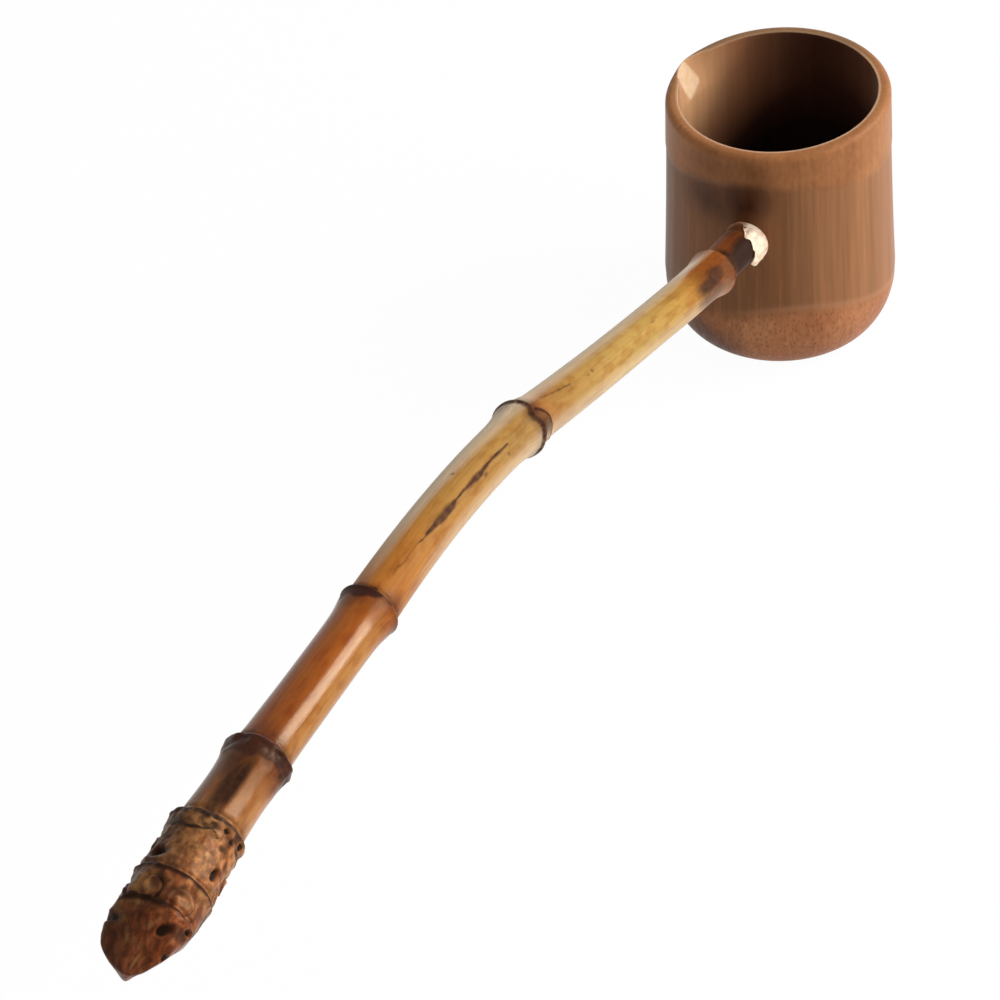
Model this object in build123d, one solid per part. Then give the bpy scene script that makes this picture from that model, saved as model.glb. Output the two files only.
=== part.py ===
from build123d import *
from collections import namedtuple
import math
import os

# Cup: one section of thick bamboo culm, closed below by its own node. Its outside is given as the
# wall's thickness over the hollow of the culm.
cup_height = 76.5  # base to rim, on the cup's axis
hollow_radius = 27.9
mouth_wall = 3.6  # at the rim
waist_wall = 4.3
waist_height = 46.0
bulge_wall = 5.3  # widest ring, at the top of the rounded foot
bulge_height = 17.0
foot_round_width = 8.2  # from the widest ring in to the flat of the base
floor_thickness = 8.0
floor_round = 8.0  # inside corner between floor and wall
rim_fall = 2.6  # drop of the rim across the mouth
rim_low_angle = -76.0  # where the rim is lowest, in degrees round the cup from the handle
rim_outer_round = 2.2
rim_inner_round = 0.4
lip_angle = -101.0  # degrees round the cup from the handle
lip_depth = 10.5  # height of the pour lip's groove inside the rim
lip_cut = 1.5  # how far the groove eats into the wall at the rim
lip_gouge = 12.5  # radius of the gouge that cut the groove

# Mortise and tenon between the handle and the cup wall
joint_height = 48.1  # handle axis where it meets the outside of the wall
joint_offset = 3.2  # mortise to the side of the cup's middle
joint_heading = 12.0  # degrees that the tenon points above level
tenon_radius = 5.5
tenon_projection = 4.0  # beyond the inside of the wall
bare_length = 5.0  # whittled tenon left showing outside the wall
whittle_length = 2.0  # slope from the whittled tenon up to the stem
glue_gap = 0.1

# Wedge driven into a saw kerf in the tenon's inner end
wedge_length = 9.0
wedge_butt = 1.8  # thickness at the driven end
wedge_edge = 0.5  # thickness at the thin end
wedge_proud = 0.8  # left standing out of the tenon
kerf_gap = 0.05

# Bead of pale putty packed round the tenon, outside the wall
bead_width = 1.7
bead_height = 3.0
bead_slope = 1.0  # chamfer round its outer edge
bead_gap = 0.05

# Handle: a bamboo stem with its root end. Each internode starts with the collar of the node on its
# cup side, narrows to its waist and swells again to its far end.
# heading: degrees above level in the middle of the internode, bend: degrees turned along it
Internode = namedtuple("Internode", "length heading bend collar waist end")
stub = Internode(length=13.5, heading=joint_heading, bend=0.0, collar=5.95, waist=5.9, end=6.0)
long_stem = Internode(length=128.0, heading=18.5, bend=3.5, collar=7.2, waist=5.9, end=6.3)
curved_stem = Internode(length=84.5, heading=7.1, bend=-18.0, collar=7.5, waist=6.4, end=6.75)
lower_stem = Internode(length=58.0, heading=2.0, bend=0.0, collar=7.65, waist=6.7, end=7.1)
dark_stem = Internode(length=23.0, heading=-1.0, bend=0.0, collar=8.1, waist=7.5, end=8.0)
root_neck = Internode(length=17.5, heading=-7.0, bend=0.0, collar=8.9, waist=9.0, end=9.8)
root_knob = Internode(length=10.5, heading=-8.0, bend=0.0, collar=9.7, waist=9.6, end=9.7)
root_tip = Internode(length=15.0, heading=-4.0, bend=0.0, collar=9.9, waist=9.4, end=8.4)
stems = [stub, long_stem, curved_stem, lower_stem, dark_stem, root_neck, root_knob, root_tip]
collar_run = 6.0  # distance in which a collar fades into its internode
ring_spacing = 5.0  # between the cross sections that shape an internode
least_rings = 4

# Knife cuts that bring the root end to a point: the way each flat faces, and how far below the
# stem's middle the point lies
right_flat = (0.36, 0.68, -0.63)
left_flat = (0.70, -0.62, -0.36)
top_flat = (0.62, -0.10, 0.78)
point_drop = 3.0

mouth_radius = hollow_radius + mouth_wall
waist_radius = hollow_radius + waist_wall
bulge_radius = hollow_radius + bulge_wall
mortise_radius = tenon_radius + glue_gap
blank_height = cup_height + rim_fall


def along(stem, share):
    """Offset (x, z) and heading reached after a share of an internode's arc."""
    start = math.radians(stem.heading - stem.bend / 2)
    half_turn = math.radians(stem.bend) * share / 2
    shrink = math.sin(half_turn) / half_turn if half_turn else 1.0
    chord = stem.length * share * shrink
    middle = start + half_turn
    return chord * math.cos(middle), chord * math.sin(middle), math.degrees(middle + half_turn)


def cross_plane(x, z, heading):
    """Plane square to the handle at a point of its path."""
    tilt = math.radians(heading)
    return Plane(origin=(x, joint_offset, z), x_dir=(0, 1, 0), z_dir=(math.cos(tilt), 0, math.sin(tilt)))


# The handle's axis crosses the outside and the inside of the wall here
outside_x = math.sqrt(waist_radius**2 - joint_offset**2)
inside_x = math.sqrt(hollow_radius**2 - joint_offset**2)
joint_plane = cross_plane(outside_x, joint_height, joint_heading)
tenon_back = outside_x - inside_x + tenon_projection
joint_reach = 4 * tenon_back  # length of the round cuts that follow the tenon through the wall


def culm_blank(growth):
    """The culm section before hollowing, its round outside grown by a little."""
    foot_radius = bulge_radius - foot_round_width
    foot = EllipticalCenterArc(
        (foot_radius + growth, bulge_height), foot_round_width, bulge_height, start_angle=270, arc_size=90
    )
    side = Spline(
        (bulge_radius + growth, bulge_height),
        (waist_radius + growth, waist_height),
        (mouth_radius + growth, blank_height),
    )
    outline = [
        Line((0, 0), foot @ 0),
        foot,
        side,
        Line(side @ 1, (0, blank_height)),
        Line((0, blank_height), (0, 0)),
    ]
    return revolve(Plane.XZ * make_face(outline), Axis.Z)


def culm_hollow():
    corner = CenterArc((hollow_radius - floor_round, floor_thickness + floor_round), floor_round, 270, 90)
    outline = [
        Line((0, floor_thickness), corner @ 0),
        corner,
        Line(corner @ 1, (hollow_radius, blank_height)),
        Line((hollow_radius, blank_height), (0, blank_height)),
        Line((0, blank_height), (0, floor_thickness)),
    ]
    return revolve(Plane.XZ * make_face(outline), Axis.Z)


def make_cup():
    cup = culm_blank(0) - culm_hollow()
    # The rim is sawn a little off square
    fall = math.atan(rim_fall / (2 * mouth_radius))
    low = math.radians(rim_low_angle)
    rim_normal = (math.sin(fall) * math.cos(low), math.sin(fall) * math.sin(low), math.cos(fall))
    rim_axis = Axis((0, 0, 0), rim_normal)
    cup = split(cup, bisect_by=Plane(origin=(0, 0, cup_height), z_dir=rim_normal), keep=Keep.BOTTOM)
    rim = cup.faces().sort_by(rim_axis)[-1]
    cup = fillet(rim.outer_wire().edges(), min(rim_outer_round, mouth_wall / 2))
    rim = cup.faces().sort_by(rim_axis)[-1]
    cup = fillet(rim.inner_wires()[0].edges(), min(rim_inner_round, mouth_wall / 4))
    # Pour lip: a groove cut with a round gouge, running out down the inside of the wall
    lean = math.degrees(math.atan(lip_cut / lip_depth))
    groove_end = cup_height - math.tan(fall) * hollow_radius - lip_depth
    gouge = Cylinder(lip_gouge, 4 * lip_depth, align=(Align.MAX, Align.CENTER, Align.CENTER))
    cup -= Rot(0, 0, lip_angle) * Pos(hollow_radius, 0, groove_end) * Rot(0, lean, 0) * gouge
    return cup - joint_plane * Cylinder(mortise_radius, joint_reach)


def stem_radius(stem, distance):
    collar = (stem.collar - stem.waist) * math.exp(-((distance / collar_run) ** 2))
    swell = (stem.end - stem.waist) * (distance / stem.length) ** 3
    return stem.waist + collar + swell


def stem_solid(x, z, stem, first_heading, last_heading):
    """One internode, between the planes of its two nodes."""
    steps = max(least_rings, round(stem.length / ring_spacing))
    sections = []
    for step in range(steps + 1):
        share = step / steps
        dx, dz, heading = along(stem, share)
        if step == 0:
            heading = first_heading
        if step == steps:
            heading = last_heading
        ring = Circle(stem_radius(stem, share * stem.length))
        sections.append(cross_plane(x + dx, z + dz, heading) * ring)
    return loft(sections)


def wedge_blank(gap):
    """Wedge lying level across the tenon's inner end, grown by a gap."""
    butt_end = -tenon_back - wedge_proud
    thin_end = butt_end + wedge_length + gap
    outline = Polyline(
        (butt_end, -wedge_butt / 2 - gap),
        (butt_end, wedge_butt / 2 + gap),
        (thin_end, wedge_edge / 2 + gap),
        (thin_end, -wedge_edge / 2 - gap),
        close=True,
    )
    side_view = Plane(origin=joint_plane.origin, x_dir=joint_plane.z_dir, z_dir=(0, -1, 0))
    return side_view * extrude(make_face(outline), amount=2 * tenon_radius, both=True)


def make_handle():
    stub_start = bare_length + whittle_length
    start = joint_plane * Pos(0, 0, stub_start)
    places = [(start.position.X, start.position.Z)]
    for stem in stems:
        dx, dz, _ = along(stem, 1.0)
        places.append((places[-1][0] + dx, places[-1][1] + dz))
    # Each node's plane lies half way between the two internodes that meet there
    headings = [joint_heading]
    for near, far in zip(stems, stems[1:]):
        headings.append(((near.heading + near.bend / 2) + (far.heading - far.bend / 2)) / 2)
    headings.append(stems[-1].heading)

    handle = joint_plane * Pos(0, 0, bare_length) * Cylinder(
        tenon_radius, tenon_back + bare_length, align=(Align.CENTER, Align.CENTER, Align.MAX)
    )
    handle += joint_plane * Pos(0, 0, bare_length) * Cone(
        tenon_radius, stub.collar, whittle_length, align=(Align.CENTER, Align.CENTER, Align.MIN)
    )
    for index, stem in enumerate(stems):
        x, z = places[index]
        handle += stem_solid(x, z, stem, headings[index], headings[index + 1])
    end_x, end_z = places[-1]
    for flat in (right_flat, left_flat, top_flat):
        cut = Plane(origin=(end_x, joint_offset, end_z - point_drop), z_dir=flat)
        handle = split(handle, bisect_by=cut, keep=Keep.BOTTOM)
    return handle - wedge_blank(kerf_gap)


def make_tenon_wedge():
    round_tenon = joint_plane * Cylinder(tenon_radius - kerf_gap, joint_reach)
    return wedge_blank(0) & round_tenon


def make_joint_seal():
    """Collar of putty that follows the outside of the wall round the tenon."""
    skin = culm_blank(bead_gap + bead_height) - culm_blank(bead_gap)
    bead = Rot(0, 0, 180) * skin & joint_plane * Cylinder(mortise_radius + bead_width, joint_reach)
    rings = bead.edges().filter_by(GeomType.LINE, reverse=True).sort_by(Axis.X)
    bead = chamfer(rings[-1], bead_slope)
    return bead - joint_plane * Cylinder(mortise_radius, joint_reach)


os.makedirs("parts", exist_ok=True)
export_step(make_cup(), "parts/cup.step")
export_step(make_handle(), "parts/handle.step")
export_step(make_tenon_wedge(), "parts/tenon_wedge.step")
export_step(make_joint_seal(), "parts/joint_seal.step")
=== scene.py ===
import bpy
import math
import numpy as np
from mathutils import Matrix, Quaternion, Vector


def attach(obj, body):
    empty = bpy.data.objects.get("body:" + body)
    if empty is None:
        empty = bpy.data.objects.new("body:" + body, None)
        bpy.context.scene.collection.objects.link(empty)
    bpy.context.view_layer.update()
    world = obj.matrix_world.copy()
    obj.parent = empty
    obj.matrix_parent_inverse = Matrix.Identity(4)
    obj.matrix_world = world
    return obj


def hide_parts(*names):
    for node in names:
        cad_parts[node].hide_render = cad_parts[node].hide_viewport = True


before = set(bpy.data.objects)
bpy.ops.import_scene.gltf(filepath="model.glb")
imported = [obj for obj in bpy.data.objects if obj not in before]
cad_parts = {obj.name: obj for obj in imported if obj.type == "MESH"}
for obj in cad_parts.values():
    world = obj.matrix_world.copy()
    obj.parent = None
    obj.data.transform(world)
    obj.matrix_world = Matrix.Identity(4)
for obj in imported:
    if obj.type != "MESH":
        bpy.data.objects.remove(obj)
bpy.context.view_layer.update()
mm = 0.001  # sizes below are in mm and angles in degrees
scene = bpy.context.scene


# Numbers that the pieces share
def ease(value, start, end):  # 0 at the start, 1 at the end; either may be the lower
    share = np.clip((value - start) / (end - start), 0, 1)
    return share * share * (3 - 2 * share)


def hump(value, middle, width):  # 1 in the middle, falling off on both sides
    return np.exp(-(((value - middle) / width) ** 2))


def turnFrom(turn, middle):  # signed degrees, the short way round
    return (turn - middle + 180) % 360 - 180


def cosOf(turn):
    return np.cos(np.radians(turn))


def sinOf(turn):
    return np.sin(np.radians(turn))


def roundPoints(radius, turn, height):
    return np.column_stack([radius * cosOf(turn), radius * sinOf(turn), height])


def roundPlaces(points):  # radius, turn and height
    x, y, height = points.T
    return np.hypot(x, y), np.degrees(np.arctan2(y, x)), height


def lumps(places, size, seed, stretch=1.0):  # smooth noise from -1 to 1, drawn out along the third axis
    cells = 32
    table = np.random.default_rng(seed).uniform(-1, 1, (cells, cells, cells))
    spots = places / [1, 1, stretch] / size
    corner = np.floor(spots).astype(int)
    share = ease(spots - corner, 0, 1)
    total = np.zeros(len(places))
    for step in np.ndindex(2, 2, 2):
        weight = np.prod(np.where(np.array(step) == 1, share, 1 - share), axis=1)
        total += weight * table[tuple(((corner + step) % cells).T)]
    return total


def namedRows(names, rows):
    return [dict(zip(names.split(), row)) for row in rows]


def addMark(masks, name, values):  # the stronger of two marks shows
    masks[name] = np.maximum(masks[name], values)


# Meshes and node trees
def setSockets(node, sockets):  # an output is linked, anything else is a plain value
    for name, value in sockets.items():
        if isinstance(value, bpy.types.NodeSocket):
            node.id_data.links.new(value, node.inputs[name])
        else:
            node.inputs[name].default_value = value


def addNode(tree, kind, sockets=None, **settings):  # kind without the tree's own prefix
    node = tree.nodes.new(tree.bl_idname.removesuffix("Tree") + kind)
    for name, value in settings.items():
        setattr(node, name, value)
    setSockets(node, sockets or {})
    return node


def joinNode(kind, sockets, **settings):  # a node in the tree that its inputs come from
    trees = [value.id_data for value in sockets.values() if isinstance(value, bpy.types.NodeSocket)]
    return addNode(trees[0], kind, sockets, **settings)


def newObject(name, data):
    piece = bpy.data.objects.new(name, data)
    scene.collection.objects.link(piece)
    return piece


def newMesh(name, points, faces):
    mesh = bpy.data.meshes.new(name)
    mesh.from_pydata([tuple(point) for point in np.asarray(points) * mm], [], faces)
    return mesh


def newTree(name, inputs):  # inputs: name and socket kind
    tree = bpy.data.node_groups.new(name, "GeometryNodeTree")
    for label, kind in {"Geometry": "Geometry", **inputs}.items():
        tree.interface.new_socket(label, in_out="INPUT", socket_type="NodeSocket" + kind)
    tree.interface.new_socket("Geometry", in_out="OUTPUT", socket_type="NodeSocketGeometry")
    return tree, tree.nodes.new("NodeGroupInput").outputs


def endTree(tree, given, geometry):  # real faces, smooth, with the piece's finish
    real = addNode(tree, "RealizeInstances", {"Geometry": geometry})
    smooth = addNode(tree, "SetShadeSmooth", {"Geometry": real.outputs[0]})
    finish = {"Geometry": smooth.outputs[0], "Material": given["Material"]}
    done = addNode(tree, "SetMaterial", finish)
    tree.links.new(done.outputs[0], tree.nodes.new("NodeGroupOutput").inputs[0])


def meshFrom(piece):
    bpy.context.view_layer.update()
    graph = bpy.context.evaluated_depsgraph_get()
    return bpy.data.meshes.new_from_object(piece.evaluated_get(graph), depsgraph=graph)


def runTree(tree, data, values):  # plain mesh that a tree makes from a curve
    carrier = newObject("carrier", data)
    modifier = carrier.modifiers.new(tree.name, "NODES")
    modifier.node_group = tree
    for socket in tree.interface.items_tree:
        if socket.in_out == "INPUT" and socket.name in values:
            modifier[socket.identifier] = values[socket.name]
    mesh = meshFrom(carrier)
    bpy.data.objects.remove(carrier)
    return mesh


def polyCurve(name, points, radii=None):
    curve = bpy.data.curves.new(name, "CURVE")
    curve.dimensions = "3D"
    spline = curve.splines.new("POLY")
    spline.points.add(len(points) - 1)
    spline.points.foreach_set("co", np.column_stack([points, np.ones(len(points))]).ravel())
    if radii is not None:
        spline.points.foreach_set("radius", radii)
    return curve


def cutOut(mesh, cutter):  # the mesh less a closed cutter
    carrier = newObject("carrier", mesh)
    tool = newObject("tool", cutter)
    modifier = carrier.modifiers.new("cut", "BOOLEAN")
    modifier.operation = "DIFFERENCE"
    modifier.solver = "EXACT"
    modifier.object = tool
    result = meshFrom(carrier)
    bpy.data.objects.remove(carrier)
    bpy.data.objects.remove(tool)
    return result


def readPoints(mesh):
    flat = np.zeros(len(mesh.vertices) * 3, np.float32)
    mesh.vertices.foreach_get("co", flat)
    return flat.reshape(-1, 3).astype(float) / mm


def writePoints(mesh, points):
    mesh.vertices.foreach_set("co", (points * mm).astype(np.float32).ravel())
    mesh.update()


def paint(mesh, masks):  # one number or one vector for each vertex, under each name
    for name, values in masks.items():
        values = np.asarray(values, np.float32)
        kind, field = ("FLOAT", "value") if values.ndim == 1 else ("FLOAT_VECTOR", "vector")
        mesh.attributes.new(name, kind, "POINT").data.foreach_set(field, values.ravel())


# Finishes
def tone(colour):  # a screen colour as the shader takes it; an output stays as it is
    if isinstance(colour, bpy.types.NodeSocket):
        return colour
    return tuple(((part / 255 + 0.055) / 1.055) ** 2.4 for part in colour) + (1.0,)


def newFinish(name):
    material = bpy.data.materials.new(name)
    material.use_nodes = True
    return material, material.node_tree, material.node_tree.nodes["Principled BSDF"]


def calc(operation, first, *others):
    for other in others:
        first = joinNode("Math", {0: first, 1: other}, operation=operation).outputs[0]
    return first


def times(*values):
    return calc("MULTIPLY", *values)


def plus(*values):
    return calc("ADD", *values)


def bothWays(noise, reach):  # noise from 0 to 1 as a push up or down
    return times(calc("SUBTRACT", noise, 0.5), reach)


def fit(value, low, high, toLow=0.0, toHigh=1.0):  # clamped change of range
    sockets = {0: value, 1: low, 2: high, 3: toLow, 4: toHigh}
    return joinNode("MapRange", sockets).outputs[0]


def within(value, start, full, fade, end):  # 1 from full to fade, 0 before the start and past the end
    return times(fit(value, start, full), fit(value, end, fade))


def mixTone(share, under, over, mode="MIX"):
    sockets = {0: share, 6: tone(under), 7: tone(over)}
    return joinNode("Mix", sockets, data_type="RGBA", blend_type=mode).outputs[2]


def dyed(colour, *dyes):  # a colour times others, or times a grey
    for dye in dyes:
        colour = mixTone(1.0, colour, dye, "MULTIPLY")
    return colour


def rampTone(value, stops):
    node = joinNode("ValToRGB", {0: value})
    elements = node.color_ramp.elements
    elements[0].position, elements[1].position = stops[0][0], stops[-1][0]
    elements[0].color, elements[1].color = tone(stops[0][1]), tone(stops[-1][1])
    for place, colour in stops[1:-1]:
        elements.new(place).color = tone(colour)
    return node.outputs[0]


def mask(tree, name):
    return addNode(tree, "Attribute", attribute_name=name).outputs["Fac"]


def grain(places, scale, stretch, detail=3.0):
    mapped = joinNode("Mapping", {"Vector": places, "Scale": stretch}).outputs[0]
    sockets = {"Vector": mapped, "Scale": scale, "Detail": detail}
    return joinNode("TexNoise", sockets).outputs[0]


def bump(height, distance, strength):
    sockets = {"Height": height, "Distance": distance, "Strength": strength}
    return joinNode("Bump", sockets).outputs[0]


# Handle: one stem with its root end. Places run along its axis from the outside of the cup's wall,
# turns go round it from +Y up.
stem = {
    "jointX": 32.04, "jointY": 3.2, "jointZ": 48.1, "jointHeading": 12.0,
    "tenonBack": 8.32, "tenonRadius": 5.5, "bareEnd": 5.0, "stubStart": 7.0, "stubPinch": 0.55,
    "pinchRun": (1, 8), "collarRun": 6.0, "nodeBlend": 2.0, "sides": 144, "wideStep": 1.2, "leastStep": 0.01,
    "peakTurn": 52, "peakSpread": 16, "ridgeAt": 0.5, "ridgeRun": 0.8, "grooveAt": -0.9, "wideTurn": 118,
    "fineStretches": [(15, 42, 0.44), (120, 240, 0.44), (284, 352, 0.4), (352, 357, 0.2)],
}
# Internodes from the cup; heading is above level in the middle, bend is the turn along it
internodes = namedRows("length heading bend collar waist end", [
    (13.5, 12.0, 0.0, 5.95, 5.9, 6.0),
    (128.0, 18.5, 3.5, 7.2, 5.9, 6.3),
    (84.5, 7.1, -18.0, 7.5, 6.4, 6.75),
    (58.0, 2.0, 0.0, 7.65, 6.7, 7.1),
    (23.0, -1.0, 0.0, 8.1, 7.5, 8.0),
    (17.5, -7.0, 0.0, 8.9, 9.0, 9.8),
    (10.5, -8.0, 0.0, 9.7, 9.6, 9.7),
    (15.0, -4.0, 0.0, 9.9, 9.4, 8.4),
])
# Sheath scar at the start of each internode but the first. shift, sway and peak bend its line, run is
# the length of its step, dark and darkWide are the widths of its dark band away from wideTurn and at it.
scars = namedRows("run shift sway swayAt peak ridge groove grooveRun dark darkWide depth", [
    (1.8, 2.2, 0.5, 150, 0.0, 0.0, 0.12, 0.7, 1.1, 0.2, 0.8),
    (1.6, 1.0, -0.5, 100, 1.5, 0.3, 0.4, 0.6, 2.2, 2.0, 0.85),
    (1.4, 0.2, 0.4, 20, 0.0, 0.3, 0.4, 0.55, 0.5, 4.0, 1.0),
    (2.0, -1.8, 0.7, 100, 0.0, 0.45, 0.3, 0.55, 4.6, 6.0, 0.8),
    (2.0, 0.0, 0.9, 100, 0.0, 0.1, 0.5, 0.6, 0.8, 1.4, 0.5),
    (1.2, 0.4, 0.4, 40, 0.0, 0.2, 0.6, 0.4, 0.1, 0.5, 0.95),
    (1.2, -1.0, -0.9, 100, 0.0, 0.2, 0.55, 0.5, 0.0, 0.9, 0.85),
])
# Knife cuts that leave the point: which way each flat faces, and how their edges are worn
tip = {
    "flats": [(0.36, 0.68, -0.63), (0.70, -0.62, -0.36), (0.62, -0.10, 0.78)],
    "flatsStart": 313.0, "wave": 0.45, "waveSize": 5.0, "waveRadius": 8.0, "edgeRound": 1.2,
    "leastRadius": 0.5, "pointDrop": 3.0, "dropStart": 343.0, "blunt": 2.4, "capRun": 1.5, "capEnd": 0.2,
}
nodePlaces = stem["stubStart"] + np.cumsum([piece["length"] for piece in internodes])
tipPlace = nodePlaces[-1]
stemEnd = tipPlace - tip["blunt"]


def stemStations():
    places = [-stem["tenonBack"]]
    while places[-1] < stemEnd - stem["leastStep"]:
        steps = [step for low, high, step in stem["fineStretches"] if low <= places[-1] < high]
        places.append(places[-1] + (steps[0] if steps else stem["wideStep"]))
    places[-1] = stemEnd
    return np.array(places)


def stemAxis(places):  # points on the axis and headings in radians
    step, spare = 0.1, 10.0
    fine = np.arange(-stem["tenonBack"] - spare, tipPlace + spare, step)
    heading = np.full(len(fine), stem["jointHeading"])
    start = stem["stubStart"]
    for piece in internodes:
        share = (fine - start) / piece["length"]
        inside = share >= 0
        bent = piece["heading"] + piece["bend"] * (np.clip(share, 0, 1) - 0.5)
        heading[inside] = bent[inside]
        start += piece["length"]
    # the headings run into each other across a node
    reach = 2.5 * stem["nodeBlend"]
    kernel = hump(np.arange(-reach, reach + step, step), 0, stem["nodeBlend"])
    padded = np.pad(heading, len(kernel) // 2, "edge")
    heading = np.radians(np.convolve(padded, kernel / kernel.sum(), "valid")[: len(fine)])
    x = np.cumsum(np.cos(heading)) * step
    z = np.cumsum(np.sin(heading)) * step
    x += stem["jointX"] - np.interp(0, fine, x)
    z += stem["jointZ"] - np.interp(0, fine, z)
    points = np.column_stack([np.interp(places, fine, x), np.full(len(places), stem["jointY"]),
                              np.interp(places, fine, z)])
    return points, np.interp(places, fine, heading)


def stemFrame(places):  # centre line, dropping to the point, and the two cross directions
    points, heading = stemAxis(places)
    side = np.tile([0.0, 1.0, 0.0], (len(places), 1))
    up = np.column_stack([-np.sin(heading), np.zeros(len(places)), np.cos(heading)])
    points[:, 2] -= tip["pointDrop"] * ease(places, tip["dropStart"], tipPlace)
    return points, side, up


def atJoint(place, across, above):  # points beside the tenon's axis
    heading = math.radians(stem["jointHeading"])
    return np.column_stack([
        stem["jointX"] - above * math.sin(heading) + place * math.cos(heading),
        stem["jointY"] + across,
        stem["jointZ"] + above * math.cos(heading) + place * math.sin(heading),
    ])


def internodeRadius(piece, distance):
    collar = (piece["collar"] - piece["waist"]) * hump(distance, 0, stem["collarRun"])
    swell = (piece["end"] - piece["waist"]) * np.clip(distance / piece["length"], 0, 1.1) ** 3
    return piece["waist"] + collar + swell


def scarLine(scar, node, turn):
    line = node + scar["shift"] + scar["sway"] * cosOf(turn - scar["swayAt"])
    return line + scar["peak"] * hump(turnFrom(turn, stem["peakTurn"]), 0, stem["peakSpread"])


def stemRadius(places, turns):
    start, stub = stem["stubStart"], internodes[0]
    radius = internodeRadius(stub, places - start)
    radius += (stem["tenonRadius"] - stub["collar"]) * ease(places, start, stem["bareEnd"])
    radius -= stem["stubPinch"] * ease(places, *stem["pinchRun"])
    for scar, node, near, far in zip(scars, nodePlaces, internodes, internodes[1:]):
        line = scarLine(scar, node, turns)
        gone = ease(places, line - scar["run"] / 2, line + scar["run"] / 2)
        growth = internodeRadius(far, places - node) - internodeRadius(near, places - node + near["length"])
        if near is stub:
            growth += stem["stubPinch"]
        radius += growth * gone
        radius += scar["ridge"] * hump(places, line + stem["ridgeAt"], stem["ridgeRun"])
        radius -= scar["groove"] * hump(places, line + stem["grooveAt"], scar["grooveRun"])
    return radius


# Carving of the stem: heights, and where the swollen, knobbly and gnarled bands lie
relief = {
    "waveStart": (7, 10), "wave": 0.10, "swellAt": 146.0, "swellRun": 3.6, "swell": 0.65,
    "ridge": 0.30, "ridgeSpread": 1.6, "knobsAt": 291.6, "knobsRun": 4.0, "knobs": 0.42, "knobsLift": 0.15,
    "rootStart": (311, 316), "roughTurn": 150, "ruts": 0.45, "grit": 0.18, "wrinkle": 0.02,
    "wrinklePitch": 2.3, "gnarlsStart": (313.2, 314.6), "gnarlsEnd": (320.2, 318.2), "gnarls": 0.5,
    "gnarlsLift": 0.1, "pitRim": 0.1, "leastLeft": 0.6, "ring": 0.45, "ringGroove": 0.55, "ringHollow": 0.15,
    "pitRadius": 9.5, "ringRadius": 9.7, "speckRadius": 6.3,  # of the stem, where turns are laid out flat
}
# Pits: place, turn, half length along, half width round, depth
pits = [
    (327, 23, 2.1, 1.4, 1.2), (327.9, 120, 1.8, 2.9, 1.6), (316, 2, 1.2, 1.2, 0.8),
    (329.4, -9, 1.4, 1.3, 1), (345.6, 44, 1.5, 1.9, 1.5), (349.9, 21, 1, 1.5, 1.1),
    (345.2, 160, 1, 2.8, 1.2), (342.4, 11, 0.9, 1.4, 0.7), (322, 205, 1.7, 1.3, 1),
    (326.5, 268, 1.9, 1.5, 1.2), (346, 222, 1.4, 1.5, 1.1), (336.5, 318, 1.5, 1.4, 1),
    (319.8, 308, 1.2, 1.4, 0.8), (348.5, 288, 1.1, 1.1, 0.8), (315, 106, 1, 1.3, 0.7),
    (315.5, 86, 0.8, 1.1, 0.6), (315.2, 66, 0.9, 1.2, 0.7), (316.4, 41, 0.8, 1, 0.6),
    (317.6, 24, 0.7, 0.9, 0.5), (315.8, 196, 0.9, 1.2, 0.7), (316.2, 240, 0.8, 1, 0.6),
    (315.4, 290, 0.9, 1.2, 0.7),
]
# Round scars of cut roots: place, turn, radius, strength
rootScars = [
    (337.5, 97, 2.3, 1), (337.9, 42, 2.4, 0.6), (338.2, 158, 2.1, 0.8), (337, 236, 2.4, 1),
    (323.5, 164, 2, 0.8), (338, 283, 2, 0.8), (325, 335, 2, 0.8),
]
# Scorched patches: place, turn, half length, half width in degrees, strength
burns = [
    (11, 10, 14, 80, 1.2), (20.5, 42, 4, 80, 1), (6, 100, 6, 50, 0.4), (27, 24, 6, 60, 0.55),
    (35, 48, 15, 56, 0.5), (36, 0, 12, 44, 0.72), (33, 40, 8, 34, 0.92), (38, 32, 10, 28, 0.96),
    (152, 128, 4, 26, 0.3), (151, 44, 5, 30, 0.4), (147.2, 20, 3.4, 26, 0.6), (160, 42, 16, 30, 0.24),
    (186, 40, 18, 20, 0.2), (203, 58, 8, 14, 0.3), (132, 58, 9, 22, 0.16), (306, 82, 13, 20, 0.95),
    (305, 71, 11, 13, 1), (298, 96, 8, 34, 0.75), (303, 128, 14, 30, 0.4), (306, 250, 8, 60, 0.5),
    (237, 112, 5, 30, 0.4), (318, 128, 6, 28, 0.6), (330, 135, 8, 26, 0.5), (350, 160, 9, 50, 0.35),
]
# Lines that follow the stem: its radius there, and points of place, turn and half width
streak = (6.4, [  # dark, in the curved internode
    (166.2, 48, 0.2), (174.5, 53, 0.4), (181, 48, 0.62), (185.2, 50, 0.75), (190.5, 53, 0.45),
    (194, 53, 0.3), (197.2, 51, 1), (201.5, 50, 0.85), (206.2, 52, 0.55), (213.2, 57, 0.2)])
streakEnd = (6.6, [(212, 56, 0.3), (219, 60, 0.25), (226, 63, 0.15)])
hairline = (6, [(142, 76, 0.22), (134, 67, 0.3), (126, 60, 0.2)])
ridgeLine = (7, [(148.5, 61, 0.5), (145.5, 33, 0.55), (145, 12, 0.5), (145.5, -20, 0.45)])
gnarlLine = (9.2, [
    (318.8, 140, 0.5), (319.6, 118, 0.6), (320, 98, 0.6), (319.2, 80, 0.5), (318.4, 64, 0.3),
    (319.6, 48, 0.2)])
# Specks: place, turn, radius
specks = [
    (180.2, 37, 0.6), (168.2, 30, 0.5), (186.8, 97, 0.5), (74, 55, 0.55), (114, 53, 0.6), (117, 50, 0.4),
]


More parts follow.
